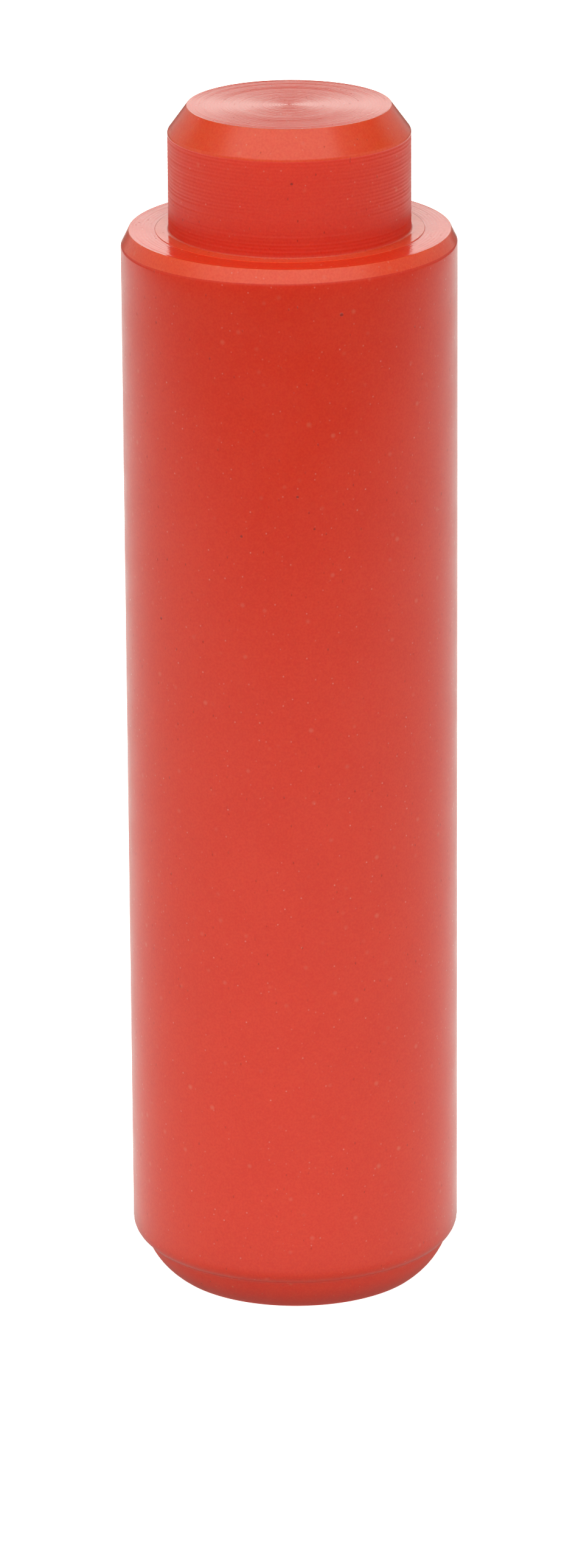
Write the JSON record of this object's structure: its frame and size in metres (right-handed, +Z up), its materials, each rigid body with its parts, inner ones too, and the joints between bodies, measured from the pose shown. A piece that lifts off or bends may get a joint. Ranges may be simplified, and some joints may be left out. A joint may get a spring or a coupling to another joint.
{
  "type": "stepped plastic plug",
  "caption": "Solid round plastic plug: a long plain body, a flat shoulder, a narrower chamfered nose, and a foot that curves in to a flat base.",
  "frame": {"origin": "centre of the flat base face, which the plug stands on", "axes": "+Z up along the turning axis, from the base to the nose; the plug is the same all the way round, so +X and +Y are free"},
  "size_m": [0.0382, 0.0382, 0.1397],
  "materials": {
    "red_plastic": "orange-red solid plastic, satin-smooth drawn side, faintly ridged tool marks on the turned nose and faces"
  },
  "bodies": {
    "root": {"stepped_plug": "red_plastic"}
  },
  "joints": []
}
